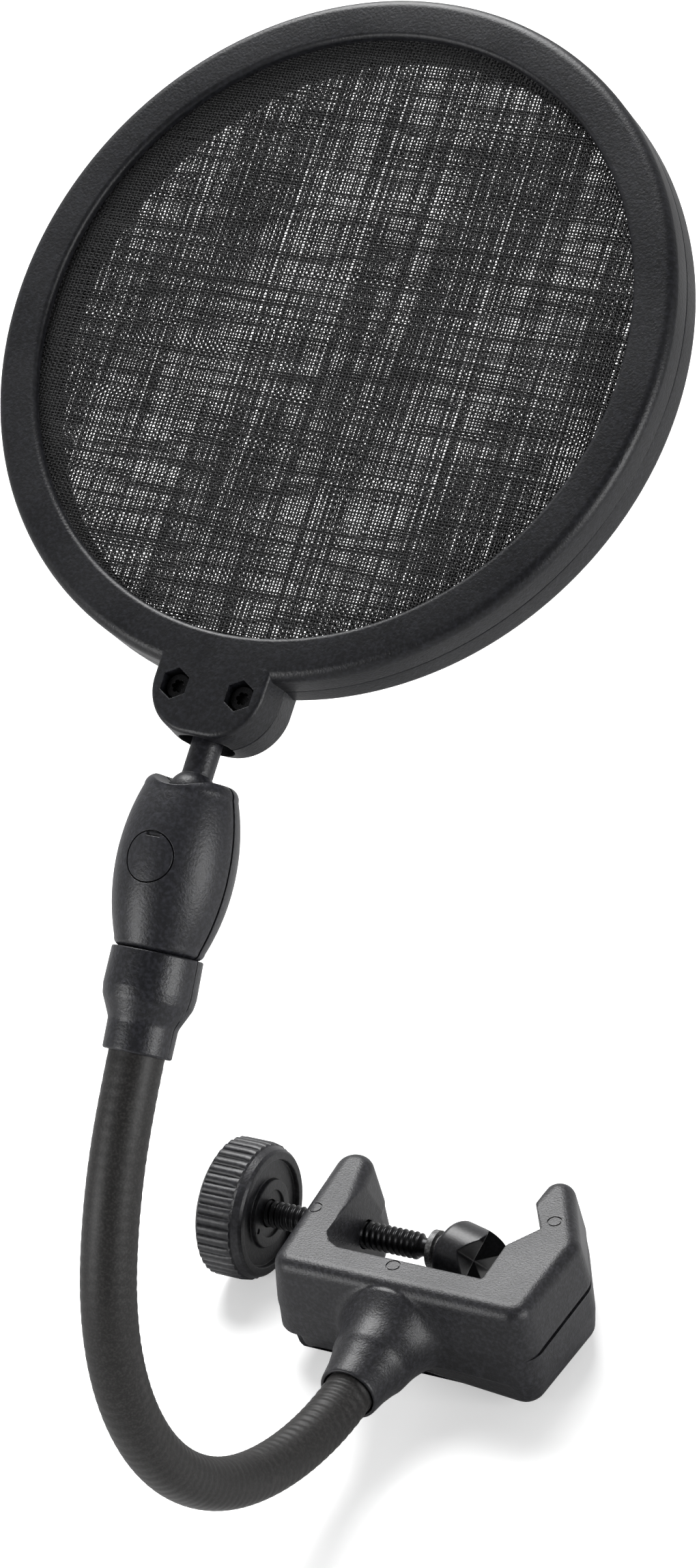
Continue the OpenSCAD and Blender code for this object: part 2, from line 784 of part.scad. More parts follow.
front_ring();
rear_ring();
front_mesh();
rear_mesh();
spacer_ring();
tab_screws();
tab_nuts();
hoop_ball_seat();
ball_link();
barrel_front_shell();
barrel_rear_shell();
friction_cup();
cup_spring_washer();
barrel_screw();
barrel_nut();
screw_cap();
neck_collar();
upper_ferrule();
lower_ferrule();
neck_sleeve(0);  // neck_sleeve_1
neck_sleeve(1);  // neck_sleeve_2
neck_sleeve(2);  // neck_sleeve_3
neck_sleeve(3);  // neck_sleeve_4
neck_sleeve(4);  // neck_sleeve_5
neck_sleeve(5);  // neck_sleeve_6
neck_sleeve(6);  // neck_sleeve_7
neck_coil(0);  // neck_coil_1
neck_coil(1);  // neck_coil_2
neck_coil(2);  // neck_coil_3
neck_coil(3);  // neck_coil_4
neck_coil(4);  // neck_coil_5
neck_coil(5);  // neck_coil_6
neck_coil(6);  // neck_coil_7
clamp_upper();
clamp_lower();
clamp_screws();
jaw_nut();
thumb_knob();
threaded_rod();
pad_washer();
swivel_pad();
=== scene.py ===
import json
import math

import bmesh
import bpy
import numpy as np
from mathutils import Matrix, Vector


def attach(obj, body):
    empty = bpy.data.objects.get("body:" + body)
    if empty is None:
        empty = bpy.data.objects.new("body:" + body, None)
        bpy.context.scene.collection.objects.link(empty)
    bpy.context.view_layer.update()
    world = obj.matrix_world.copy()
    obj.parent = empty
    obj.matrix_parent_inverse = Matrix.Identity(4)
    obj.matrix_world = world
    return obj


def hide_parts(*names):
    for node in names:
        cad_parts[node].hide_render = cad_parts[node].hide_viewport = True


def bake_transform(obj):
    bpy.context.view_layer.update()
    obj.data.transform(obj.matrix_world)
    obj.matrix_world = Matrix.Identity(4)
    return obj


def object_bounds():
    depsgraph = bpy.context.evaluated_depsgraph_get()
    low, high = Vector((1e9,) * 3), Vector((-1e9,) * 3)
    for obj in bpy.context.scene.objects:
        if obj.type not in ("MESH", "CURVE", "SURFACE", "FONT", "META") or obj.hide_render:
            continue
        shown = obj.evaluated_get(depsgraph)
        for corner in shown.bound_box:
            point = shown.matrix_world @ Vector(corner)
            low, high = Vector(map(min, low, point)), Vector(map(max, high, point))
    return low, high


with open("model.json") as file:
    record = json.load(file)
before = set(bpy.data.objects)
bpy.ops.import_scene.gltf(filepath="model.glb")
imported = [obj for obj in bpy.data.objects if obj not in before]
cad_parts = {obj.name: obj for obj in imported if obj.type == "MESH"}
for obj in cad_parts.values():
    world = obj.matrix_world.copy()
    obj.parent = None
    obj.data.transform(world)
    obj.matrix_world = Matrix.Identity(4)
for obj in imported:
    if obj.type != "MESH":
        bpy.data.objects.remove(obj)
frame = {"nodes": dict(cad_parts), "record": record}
cad_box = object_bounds()
nodes = frame["nodes"]
finish_slot = {part["node"]: part["material_slot"] for part in frame["record"]["subparts"]}

# Sizes below are millimetres; MM turns them into metres.
MM = 0.001


# ------------------------------------------------------------ design sizes

# Hoop: two equal halves that meet on a parting plane
HOOP_R = 75
WINDOW_R = 66
RING_HALF = 7
LIP_T = 2.2
SEAT_R = 68.6
TAB_HALF_W = 13.3
TAB_REACH = 88.3
TAB_CORNER = 11
TAB_SCREW_REACH = 78.2
TAB_SCREW_X = 7.5
BALL_REACH = 82.5
BALL_POCKET_R = 5.87
BALL_MOUTH_R = 5.95

# Leans are degrees from straight up
HOOP_LEAN = 52.1
HOOP_TILT = 2
LINK_LEAN = 54.2
LINK_LEN = 16
BALL_R = 5
STEM_R = 3.2

# Barrel: its heights run from the lower ball's centre along the barrel
BARREL_LEAN = 42.7
BARREL_R = 12.1
BARREL_LEN = 32.2
BARREL_TOP = 2.9
BARREL_MID = -14.6
BARREL_CURVE = 46
BARREL_SCREW_Z = -14.2
CAP_R = 5
COLLAR_LEN = 20
COLLAR_GAP = 0.4

# Neck: lengths and turns of its seven stretches, from the clamp up
NECK_X = -1.8
NECK_R = 5.72
MOUTH_Y = -50.9
SEAM_Z = 13.3
STRETCH_LENS = [14.2, 31.55, 31.55, 31.55, 31.55, 31.55, 12.6]
STRETCH_TURNS = [11.4, 20.4, 24.1, 26.7, 29.1, 17.9, 3.1]
RIB_PITCH = 2.6
NECK_LEAD = 4.2

CLAMP_T = 27
SPINE_FRONT = -30.2

KNOB_X = -61.5
KNOB_LEN = 12.8
KNOB_R = 16.5
KNOB_RIBS = 40
ROD_START = -57.5
ROD_END = -8.5
ROD_R = 3.25
ROD_PITCH = 1.5

# Fabric: pitch and radius of the threads that run up and across the hoop
WARP_PITCH = 0.7
WARP_R = 0.255
WEFT_PITCH = 0.6
WEFT_R = 0.18

# Direction from the object back to the camera
VIEW_BACK = Vector((0.459, -0.701, 0.545))


# ------------------------------------------------------------ frames

def turned_by(axis, degrees):
    return Matrix.Rotation(math.radians(degrees), 4, axis)


def moved_to(x, y, z):
    return Matrix.Translation((x, y, z))


def neck_pivots():
    """Where the neck's stretches meet, as (y, z, heading) in the neck's plane."""
    y, z, heading = MOUTH_Y, SEAM_Z, 180.0
    pivots = [(y, z, heading)]
    for length, bend in zip(STRETCH_LENS, STRETCH_TURNS):
        before = math.radians(heading)
        after = math.radians(heading - bend)
        radius = length / math.radians(bend)
        y += radius * (math.sin(before) - math.sin(after))
        z += radius * (math.cos(after) - math.cos(before))
        heading -= bend
        pivots.append((y, z, heading))
    return pivots


PIVOTS = neck_pivots()
BARREL_DROP = BARREL_LEN + COLLAR_GAP + COLLAR_LEN


def along_lean(origin, lean, distance):
    """Point at a distance along a direction that leans from +Z towards +Y."""
    y = math.sin(math.radians(lean)) * distance
    z = math.cos(math.radians(lean)) * distance
    return origin + Vector((0, y, z))


LOWER_BALL = along_lean(Vector((NECK_X, PIVOTS[-1][0], PIVOTS[-1][1])), BARREL_LEAN, BARREL_DROP)
UPPER_BALL = along_lean(LOWER_BALL, LINK_LEAN, LINK_LEN)
AT_BARREL = Matrix.Translation(LOWER_BALL) @ turned_by("X", -BARREL_LEAN)
AT_LINK = Matrix.Translation(LOWER_BALL) @ turned_by("X", -LINK_LEAN)
AT_HOOP = (
    Matrix.Translation(UPPER_BALL)
    @ turned_by("X", 90 - HOOP_LEAN)
    @ turned_by("Z", -HOOP_TILT)
    @ moved_to(0, BALL_REACH, 0)
)
ALONG_SCREW = moved_to(0, 0, SEAM_Z) @ turned_by("Y", 90)


# ------------------------------------------------------------ mesh tools

def add_object(name, mesh):
    obj = bpy.data.objects.new(name, mesh)
    bpy.context.scene.collection.objects.link(obj)
    return obj


def solid(name, points, faces, place=Matrix()):
    """Object from millimetre points and faces, with its normals facing out."""
    mesh = bpy.data.meshes.new(name)
    mesh.from_pydata([(place @ Vector(p)) * MM for p in points], [], faces)
    work = bmesh.new()
    work.from_mesh(mesh)
    bmesh.ops.recalc_face_normals(work, faces=work.faces)
    work.to_mesh(mesh)
    work.free()
    return add_object(name, mesh)


def quad_mesh(name, points, quads):
    """Large mesh straight from arrays of millimetre points and quads."""
    mesh = bpy.data.meshes.new(name)
    mesh.vertices.add(len(points))
    mesh.vertices.foreach_set("co", (points * MM).astype(np.float32).ravel())
    mesh.loops.add(quads.size)
    mesh.loops.foreach_set("vertex_index", quads.astype(np.int32).ravel())
    mesh.polygons.add(len(quads))
    mesh.polygons.foreach_set("loop_start", np.arange(0, quads.size, 4, dtype=np.int32))
    mesh.update(calc_edges=True)
    mesh.shade_smooth()
    return mesh


def bake(obj):
    """Applies the object's modifiers."""
    bpy.context.view_layer.update()
    depsgraph = bpy.context.evaluated_depsgraph_get()
    mesh = bpy.data.meshes.new_from_object(obj.evaluated_get(depsgraph))
    obj.modifiers.clear()
    obj.data = mesh


def combine(obj, tool, operation):
    """Joins a tool to the object, cuts it away or keeps what both share."""
    step = obj.modifiers.new("combine", "BOOLEAN")
    step.solver = "MANIFOLD"
    step.operation = operation
    step.object = tool
    bake(obj)
    bpy.data.objects.remove(tool)


def cut(obj, *tools):
    for tool in tools:
        combine(obj, tool, "DIFFERENCE")


def ramp(value, start, width):
    """Rises from 0 at start to 1 at start + width."""
    return np.clip((value - start) / width, 0, 1)


def shade(obj, angle=30):
    """Smooth shading that keeps edges sharper than the angle."""
    obj.data.shade_smooth()
    obj.data.set_sharp_from_angle(angle=math.radians(angle))


def fillet(corners, steps=6):
    """Closed outline through (a, b, rounding) corners, each rounded by an arc."""
    outline = []
    for i, (a, b, radius) in enumerate(corners):
        here = Vector((a, b))
        if radius == 0:
            outline.append(here)
            continue
        into = (Vector(corners[i - 1][:2]) - here).normalized()
        onward = (Vector(corners[(i + 1) % len(corners)][:2]) - here).normalized()
        half = into.angle(onward) / 2
        centre = here + (into + onward).normalized() * (radius / math.sin(half))
        reach = radius / math.tan(half)
        for k in range(steps + 1):
            point = (here + into * reach).lerp(here + onward * reach, k / steps)
            outline.append(centre + (point - centre).normalized() * radius)
    return outline


def lathe(name, outline, place=Matrix(), segments=128, ripple=None):
    """Solid turned about local Z from an outline of [radius, z] points.

    An outline that starts and ends on the axis closes there; any other one
    closes on itself as a ring. ripple(angle, radius, z) may change a radius.
    """
    points = []
    rings = []
    for radius, z in outline:
        if radius < 1e-6:
            rings.append([len(points)])
            points.append((0, 0, z))
            continue
        rings.append(list(range(len(points), len(points) + segments)))
        for k in range(segments):
            angle = 2 * math.pi * k / segments
            r = radius if ripple is None else ripple(angle, radius, z)
            points.append((r * math.cos(angle), r * math.sin(angle), z))
    pairs = list(zip(rings, rings[1:]))
    if len(rings[0]) > 1:
        pairs.append((rings[-1], rings[0]))
    faces = []
    for low, high in pairs:
        for k in range(segments):
            n = (k + 1) % segments
            if len(low) == 1 and len(high) == 1:
                continue
            if len(low) == 1:
                faces.append((low[0], high[n], high[k]))
            elif len(high) == 1:
                faces.append((low[k], low[n], high[0]))
            else:
                faces.append((low[k], low[n], high[n], high[k]))
    return solid(name, points, faces, place)


def rod_tool(place, radius, low, high, sides=96):
    """Cylinder along local Z, used as a cutter or as a plain joined body."""
    outline = [(0, low), (radius, low), (radius, high), (0, high)]
    return lathe("tool", outline, place, sides)


def ball_tool(place, radius, sides=96):
    steps = sides // 2
    outline = []
    for k in range(steps + 1):
        angle = math.pi * k / steps
        outline.append((radius * math.sin(angle) if 0 < k < steps else 0, -radius * math.cos(angle)))
    return lathe("tool", outline, place, sides)


def box_tool(low, high, place=Matrix()):
    xs, ys, zs = zip(low, high)
    points = [(x, y, z) for x in xs for y in ys for z in zs]
    faces = [(0, 1, 3, 2), (4, 6, 7, 5), (0, 4, 5, 1), (2, 3, 7, 6), (0, 2, 6, 4), (1, 5, 7, 3)]
    return solid("tool", points, faces, place)


def layered(name, outlines, place=Matrix()):
    """Solid through a stack of (z, outline) layers with equal point counts."""
    points = []
    for z, outline in outlines:
        points.extend((x, y, z) for x, y in outline)
    count = len(outlines[0][1])
    faces = [tuple(range(count)), tuple(range(len(points) - count, len(points)))]
    for layer in range(len(outlines) - 1):
        base = layer * count
        for k in range(count):
            n = (k + 1) % count
            faces.append((base + k, base + n, base + count + n, base + count + k))
    return solid(name, points, faces, place)


def reshape(obj, move):
    """Moves every vertex by move(points) -> points, all in millimetres."""
    mesh = obj.data
    flat = np.empty(len(mesh.vertices) * 3, dtype=np.float32)
    mesh.vertices.foreach_get("co", flat)
    points = flat.reshape(-1, 3).astype(float) / MM
    mesh.vertices.foreach_set("co", (move(points) * MM).astype(np.float32).ravel())
    mesh.update()


# ------------------------------------------------------------ materials

def noise(tree, coordinate, size, detail=2.0):
    """Noise whose features are about size millimetres across."""
    node = tree.nodes.new("ShaderNodeTexNoise")
    node.inputs["Scale"].default_value = 1 / (size * MM)
    node.inputs["Detail"].default_value = detail
    tree.links.new(coordinate, node.inputs["Vector"])
    return node.outputs["Fac"]


def remap(tree, value, low, high, from_low=0.3, from_high=0.7):
    node = tree.nodes.new("ShaderNodeMapRange")
    node.inputs["From Min"].default_value = from_low
    node.inputs["From Max"].default_value = from_high
    node.inputs["To Min"].default_value = low
    node.inputs["To Max"].default_value = high
    tree.links.new(value, node.inputs["Value"])
    return node.outputs["Result"]


def maths(tree, operation, a, b):
    node = tree.nodes.new("ShaderNodeMath")
    node.operation = operation
    for socket, value in zip(node.inputs, (a, b)):
        if isinstance(value, (int, float)):
            socket.default_value = value
        else:
            tree.links.new(value, socket)
    return node.outputs["Value"]


def blend_colour(tree, factor, first, second):
    """Mix of two colours, each an RGB triple or another node's output."""
    node = tree.nodes.new("ShaderNodeMix")
    node.data_type = "RGBA"
    tree.links.new(factor, node.inputs["Factor"])
    for index, value in ((6, first), (7, second)):
        if isinstance(value, tuple):
            node.inputs[index].default_value = (*value, 1)
        else:
            tree.links.new(value, node.inputs[index])
    return node.outputs[2]


def scaled(colour, factor):
    return tuple(min(1.0, channel * factor) for channel in colour)


def finish(name, colour, roughness, grain, depth, edge=0.2, wear=0.5, **extra):
    """Moulded or metal surface: blotched colour, fine grain, eased worn edges.

    grain and depth are the size and height of the surface grain and edge the
    radius of the eased edges, in millimetres.
    """
    mat = bpy.data.materials.new(name)
    mat.use_nodes = True
    tree = mat.node_tree
    shader = tree.nodes["Principled BSDF"]
    coordinate = tree.nodes.new("ShaderNodeTexCoord").outputs["Object"]
    geometry = tree.nodes.new("ShaderNodeNewGeometry")

    blotches = noise(tree, coordinate, 22, 3)
    speckle = noise(tree, coordinate, grain * 1.7, 1)
    base = blend_colour(tree, remap(tree, blotches, 0, 1), scaled(colour, 0.88), scaled(colour, 1.14))
    base = blend_colour(tree, remap(tree, speckle, 0, 0.8, 0.42, 0.75), base, scaled(colour, 3.2))

    bump = tree.nodes.new("ShaderNodeBump")
    bump.inputs["Strength"].default_value = 1
    bump.inputs["Distance"].default_value = depth * MM
    tree.links.new(noise(tree, coordinate, grain, 2), bump.inputs["Height"])
    rough = remap(tree, blotches, roughness - 0.04, roughness + 0.05)
    if edge > 0:
        bevel = tree.nodes.new("ShaderNodeBevel")
        bevel.samples = 4
        bevel.inputs["Radius"].default_value = edge * MM
        tree.links.new(bevel.outputs["Normal"], bump.inputs["Normal"])
        dot = tree.nodes.new("ShaderNodeVectorMath")
        dot.operation = "DOT_PRODUCT"
        tree.links.new(bevel.outputs["Normal"], dot.inputs[0])
        tree.links.new(geometry.outputs["Normal"], dot.inputs[1])
        turn = remap(tree, dot.outputs["Value"], 0, wear, 0.98, 0.8)
        rubbed = maths(tree, "MULTIPLY", turn, remap(tree, noise(tree, coordinate, 2.5, 3), 0.2, 1))
        base = blend_colour(tree, rubbed, base, scaled(colour, 3))
        rough = maths(tree, "SUBTRACT", rough, maths(tree, "MULTIPLY", rubbed, 0.2))
    tree.links.new(base, shader.inputs["Base Color"])
    tree.links.new(rough, shader.inputs["Roughness"])
    tree.links.new(bump.outputs["Normal"], shader.inputs["Normal"])
    for socket, value in extra.items():
        shader.inputs[socket.replace("_", " ")].default_value = value
    return mat


def sleeve_finish():
    """Flexible matte sleeve with a faint dusting of sheen."""
    return finish("sleeve_rubber", (0.0125, 0.0118, 0.0115), 0.5, 0.3, 0.016, edge=0,
                  Sheen_Weight=0.08, Sheen_Roughness=0.4, Specular_IOR_Level=0.4)


MATERIALS = {
    "hoop_plastic": finish("hoop_plastic", (0.0062, 0.0064, 0.008), 0.4, 0.5, 0.07, edge=0.3,
                           Specular_IOR_Level=0.42),
    "mesh_nylon": finish("mesh_nylon", (0.009, 0.009, 0.01), 0.45, 0.2, 0.004, edge=0,
                         Sheen_Weight=0.1),
    "joint_plastic": finish("joint_plastic", (0.0115, 0.0117, 0.0145), 0.4, 0.5, 0.07, edge=0.25),
    "clamp_plastic": finish("clamp_plastic", (0.0115, 0.0115, 0.0135), 0.4, 0.5, 0.075, edge=0),
    "knob_plastic": finish("knob_plastic", (0.0105, 0.0105, 0.0125), 0.38, 0.5, 0.05, edge=0.15),
    "pad_plastic": finish("pad_plastic", (0.009, 0.009, 0.0105), 0.34, 0.4, 0.014, edge=0.25),
    "seat_nylon": finish("seat_nylon", (0.1, 0.1, 0.1), 0.4, 0.3, 0.005, edge=0.1),
    "sleeve_rubber": sleeve_finish(),
    "black_steel": finish("black_steel", (0.012, 0.012, 0.013), 0.3, 0.12, 0.004, edge=0.06,
                          Metallic=0.6),
    "plain_steel": finish("plain_steel", (0.5, 0.5, 0.51), 0.32, 0.1, 0.003, edge=0.08,
                          wear=0.2, Metallic=1.0),
    "brass_insert": finish("brass_insert", (0.62, 0.45, 0.2), 0.3, 0.15, 0.003, edge=0.08,
                           wear=0.2, Metallic=1.0),
}


def fit_out(obj, body, stands_for, angle=30):
    """Gives a finished piece its shading, material and body, and hides the CAD nodes it stands for.
    """
    shade(obj, angle)
    slot = finish_slot[stands_for[0]]
    obj.data.materials.clear()
    obj.data.materials.append(MATERIALS[slot])
    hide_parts(*stands_for)
    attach(obj, body)


def paint_cad_nodes():
    """Every CAD node that stays in view takes its slot's material."""
    for name, obj in nodes.items():
        if not obj.material_slots:
            obj.data.materials.append(None)
        for entry in obj.material_slots:
            entry.material = MATERIALS[finish_slot[name]]


# ------------------------------------------------------------ hoop

def ring_outline():
    """Section of one ring half, as [radius, height above the parting plane]."""
    return fillet([
        (SEAT_R, 0, 0), (HOOP_R, 0, 0.25), (HOOP_R, RING_HALF, 2.3),
        (WINDOW_R, RING_HALF, 1.1), (WINDOW_R, RING_HALF - LIP_T, 0.3),
        (SEAT_R, RING_HALF - LIP_T, 0),
    ], 8)


def tab_outline(inset):
    side = TAB_HALF_W - inset
    foot = -TAB_REACH + inset
    top = -(HOOP_R - 3)
    corner = TAB_CORNER - inset
    corners = [(-side, top, 0), (-side, foot, corner), (side, foot, corner), (side, top, 0)]
    return fillet(corners, 24)


def tab_body(place):
    """Half of the tab, with drafted sides and a rounded face edge."""
    edge = 1.0
    draft = 0.5
    parting = 0.2
    layers = [(0, parting), (parting, 0)]
    for k in range(7):
        angle = math.pi / 2 * k / 6
        z = RING_HALF - edge + edge * math.sin(angle)
        layers.append((z, draft + edge * (1 - math.cos(angle))))
    return layered("tab", [(z, tab_outline(inset)) for z, inset in layers], place)


def hex_tool(place, flats, low, high):
    """Six-sided cutter along local Z with its corners at top and bottom."""
    corner = flats / math.sqrt(3)
    outline = [(0, low), (corner, low), (corner, high), (0, high)]
    return lathe("tool", outline, place @ turned_by("Z", 30), 6)


def ring_half(name, stands_for, side):
    """One moulded half of the hoop with its half of the tab."""
    joint_gap = 0.03
    pocket_depth = 3.8
    pocket_flats = 5.8
    screw_hole_r = 1.35
    flip = Matrix.Diagonal((1, 1, side, 1))
    place = AT_HOOP @ flip @ moved_to(0, 0, joint_gap)
    ring = lathe(name, ring_outline(), place, 288)
    combine(ring, tab_body(place), "UNION")
    for x in (-TAB_SCREW_X, TAB_SCREW_X):
        at_screw = place @ moved_to(x, -TAB_SCREW_REACH, 0)
        cut(ring, rod_tool(at_screw, screw_hole_r, -1, RING_HALF + 1, 48))
        pocket_floor = RING_HALF - pocket_depth
        cut(ring, hex_tool(at_screw, pocket_flats, pocket_floor, RING_HALF + 1))
    at_ball = place @ moved_to(0, -BALL_REACH, 0)
    cut(ring, ball_tool(at_ball, BALL_POCKET_R))
    cut(ring, rod_tool(at_ball @ turned_by("X", 90), BALL_MOUTH_R, 0, 20))
    fit_out(ring, "hoop", [stands_for])


def wander(count, seed, memory, spread):
    """How far each thread of a family strays from its even place."""
    draw = np.random.default_rng(seed)
    stray = np.zeros(2 * count + 1)
    for k in range(1, len(stray)):
        stray[k] = memory * stray[k - 1] + draw.normal(0, spread)
    return stray


def thread_layer(columns, rows, pitch_across, pitch_along, thread_r, phase, swap, layer):
    """Parallel wavy threads, each a chain of triangular sections.

    swap turns the threads to run across the hoop; phase is 0 or 1 and says
    which crossings they pass over; layer is 1 in front and -1 behind.
    """
    weave_depth = thread_r * 0.75
    radius = SEAT_R - 0.4
    threads = np.arange(-columns, columns + 1)
    crossings = np.arange(-rows, rows + 1)
    i, j = np.meshgrid(threads, crossings, indexing="ij")
    along_thread = j * pitch_along
    if swap:
        stray = wander(columns, 11 + layer, 0.55, 0.075)[i + columns]
        sway_share = 1.0
    else:
        stray = wander(columns, 16 + layer, 0.2, 0.1)[i + columns]
        sway_share = 0.3
    sway = (
        0.15 * np.sin(i * 0.16 + along_thread / 21 + 2 * layer)
        + 0.07 * np.sin(i * 0.29 - along_thread / 8 + layer)
        + 0.04 * np.sin(along_thread / 3.3 + i * 0.5)
    )
    u = i * pitch_across + stray + sway_share * sway
    v = along_thread
    lift = weave_depth * np.where((i + j + phase) % 2 == 0, 1.0, -1.0)
    inside = u ** 2 + v ** 2 < radius ** 2
    corner = np.arange(3) * 2 * math.pi / 3 + math.pi / 2
    across = u[..., None] + thread_r * np.cos(corner)
    along = np.repeat(v[..., None], 3, axis=2).astype(float)
    height = lift[..., None] + thread_r * 0.7 * np.sin(corner)
    first, second = (along, across) if swap else (across, along)
    points = np.stack([first, second, height], axis=-1)
    index = -np.ones(inside.shape, dtype=int)
    index[inside] = np.arange(inside.sum()) * 3
    joined = inside[:, :-1] & inside[:, 1:]
    low = index[:, :-1][joined]
    high = index[:, 1:][joined]
    quads = []
    for k in range(3):
        n = (k + 1) % 3
        quads.append(np.stack([low + k, low + n, high + n, high + k], axis=1))
    return points[inside].reshape(-1, 3), np.concatenate(quads)


def fabric_disc(name, stands_for, side, skew, stretch):
    """Woven nylon mesh stretched against the lip of one ring half."""
    lip_gap = 0.25
    across = WARP_PITCH * stretch[0]
    along = WEFT_PITCH * stretch[1]
    columns = int(SEAT_R / across) + 1
    rows = int(SEAT_R / along) + 1
    warp, warp_quads = thread_layer(columns, rows, across, along, WARP_R, 0, False, side)
    weft, weft_quads = thread_layer(rows, columns, along, across, WEFT_R, 1, True, side)
    points = np.concatenate([warp, weft])
    quads = np.concatenate([warp_quads, weft_quads + len(warp)])
    height = side * (RING_HALF - LIP_T - lip_gap)
    place = AT_HOOP @ moved_to(0, 0, height) @ turned_by("Z", skew)
    turn = np.array(place.to_3x3())
    points = points @ turn.T + np.array(place.translation)
    disc = add_object(name, quad_mesh(name, points, quads))
    disc.data.materials.append(MATERIALS["mesh_nylon"])
    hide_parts(stands_for)
    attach(disc, "hoop")


# ------------------------------------------------------------ ball link

def ball_link():
    """Stem with a ball at each end."""
    steps = 24
    root_gap = 0.6
    neck_angle = math.asin(STEM_R / BALL_R)
    outline = []
    for k in range(steps + 1):
        angle = (math.pi - neck_angle) * k / steps
        outline.append((BALL_R * math.sin(angle) if k else 0, -BALL_R * math.cos(angle)))
    stem_foot = outline[-1][1]
    upper = [(r, LINK_LEN - z) for r, z in reversed(outline)]
    stem = [(STEM_R, stem_foot + root_gap), (STEM_R, LINK_LEN - stem_foot - root_gap)]
    link = lathe("link_stem_and_balls", outline + stem + upper, AT_LINK, 96)
    fit_out(link, "link", ["ball_link"])


# ------------------------------------------------------------ barrel

def barrel_side(z):
    """Radius of the bulged barrel at a height."""
    return BARREL_R - BARREL_CURVE + math.sqrt(BARREL_CURVE ** 2 - (z - BARREL_MID) ** 2)


def barrel_blank():
    """Solid barrel with rounded rims."""
    top_edge = 2.6
    foot_edge = 1.7
    steps = 40
    low = -BARREL_LEN + foot_edge
    high = BARREL_TOP - top_edge
    outline = [(0, -BARREL_LEN)]
    for k in range(7):
        angle = math.pi / 2 * k / 6
        outline.append((
            barrel_side(low) - foot_edge * (1 - math.sin(angle)),
            -BARREL_LEN + foot_edge * (1 - math.cos(angle)),
        ))
    for k in range(1, steps + 1):
        z = low + (high - low) * k / steps
        outline.append((barrel_side(z), z))
    for k in range(1, 13):
        angle = math.pi / 2 * k / 12
        outline.append((
            barrel_side(high) - top_edge * (1 - math.cos(angle)),
            BARREL_TOP - top_edge * (1 - math.sin(angle)),
        ))
    outline.append((0, BARREL_TOP))
    return lathe("blank", outline, AT_BARREL, 192)


def barrel_shells():
    """Two shells that meet on the barrel's parting plane."""
    scallop_r = 11
    scallop_depth = 2.1
    parting_gap = 0.36
    cap_groove = 0.3
    ball_run = 0.08
    cavity_r = 5.6
    cavity_floor = -8.6
    mouth_r = 4.75
    ferrule_bore_r = 6.52
    flange_bore_r = 7.82
    screw_bore_r = 2
    head_r = 3.7
    nut_flats = 7.2
    head_seat = 6.6
    cap_seat = 10.5
    forward = turned_by("X", 90)
    screw = AT_BARREL @ moved_to(0, 0, BARREL_SCREW_Z)
    blank = barrel_blank()
    scallop = AT_BARREL @ moved_to(0, 0, BARREL_TOP + scallop_r - scallop_depth) @ forward
    cut(
        blank,
        rod_tool(scallop, scallop_r, -20, 20, 160),
        ball_tool(AT_BARREL, BALL_R + ball_run),
        rod_tool(AT_BARREL, cavity_r, cavity_floor, 0),
        rod_tool(AT_BARREL, mouth_r, 0, 10),
        rod_tool(AT_BARREL, ferrule_bore_r, -40, -22),
        rod_tool(AT_BARREL, flange_bore_r, -27.02, -25.38),
        rod_tool(screw @ forward, screw_bore_r, -20, 20, 48),
        rod_tool(screw @ forward, head_r, head_seat, 20, 48),
        rod_tool(screw @ forward, CAP_R + cap_groove, cap_seat, 20),
        hex_tool(screw @ turned_by("X", -90), nut_flats, head_seat, 20),
    )
    for name, low_y, high_y in (
        ("barrel_front_shell", -30, -parting_gap),
        ("barrel_rear_shell", parting_gap, 30),
    ):
        shell = add_object(name.replace("barrel_", "joint_"), blank.data.copy())
        half_space = box_tool((-30, low_y, -60), (30, high_y, 30), AT_BARREL)
        combine(shell, half_space, "INTERSECT")
        fit_out(shell, "barrel", [name])
    bpy.data.objects.remove(blank)


def screw_cover():
    """Round cover flush with the barrel, with a pry notch at its top."""
    back = 10.52
    notch_half = 1.6
    notch_depth = 0.9
    notch_floor = 11.2
    cover = barrel_blank()
    cover.name = "round_screw_cover"
    middle = AT_BARREL @ moved_to(0, 0, BARREL_SCREW_Z)
    disc = rod_tool(middle @ turned_by("X", 90), CAP_R, back, 20)
    combine(cover, disc, "INTERSECT")
    notch_low = (-notch_half, -20, CAP_R - notch_depth)
    notch_high = (notch_half, -notch_floor, CAP_R + 2)
    cut(cover, box_tool(notch_low, notch_high, middle))
    fit_out(cover, "barrel", ["screw_cap"])


def neck_collar():
    """Two-part cuff with an open rim round the barrel's foot."""
    foot = -BARREL_LEN - COLLAR_GAP - COLLAR_LEN
    rim_z = COLLAR_LEN + 0.38
    recess_z = COLLAR_LEN - 0.3
    sleeve_bore_r = NECK_R + 0.05
    ferrule_bore_r = 6.55
    step_z = 6
    outline = fillet([
        (sleeve_bore_r, 0, 0.1), (7.05, 0, 0.5), (7.15, 6.2, 3), (9.2, 10.6, 3), (9.5, 12.8, 3),
        (9.3, rim_z, 0.35), (8.72, rim_z, 0.2), (8.62, recess_z, 0),
        (ferrule_bore_r, recess_z, 0), (ferrule_bore_r, step_z, 0), (sleeve_bore_r, step_z, 0),
    ])
    place = AT_BARREL @ moved_to(0, 0, foot)
    collar = lathe("neck_cuff", outline, place, 160)
    seam_half = 0.16
    for seam_r, low_z, high_z in ((6.9, -1, 8), (8.9, 7.5, 22)):
        for low_x, high_x in ((-12, -seam_r), (seam_r, 12)):
            groove = box_tool((low_x, -seam_half, low_z), (high_x, seam_half, high_z), place)
            cut(collar, groove)
    fit_out(collar, "barrel", ["neck_collar"])


# ------------------------------------------------------------ neck

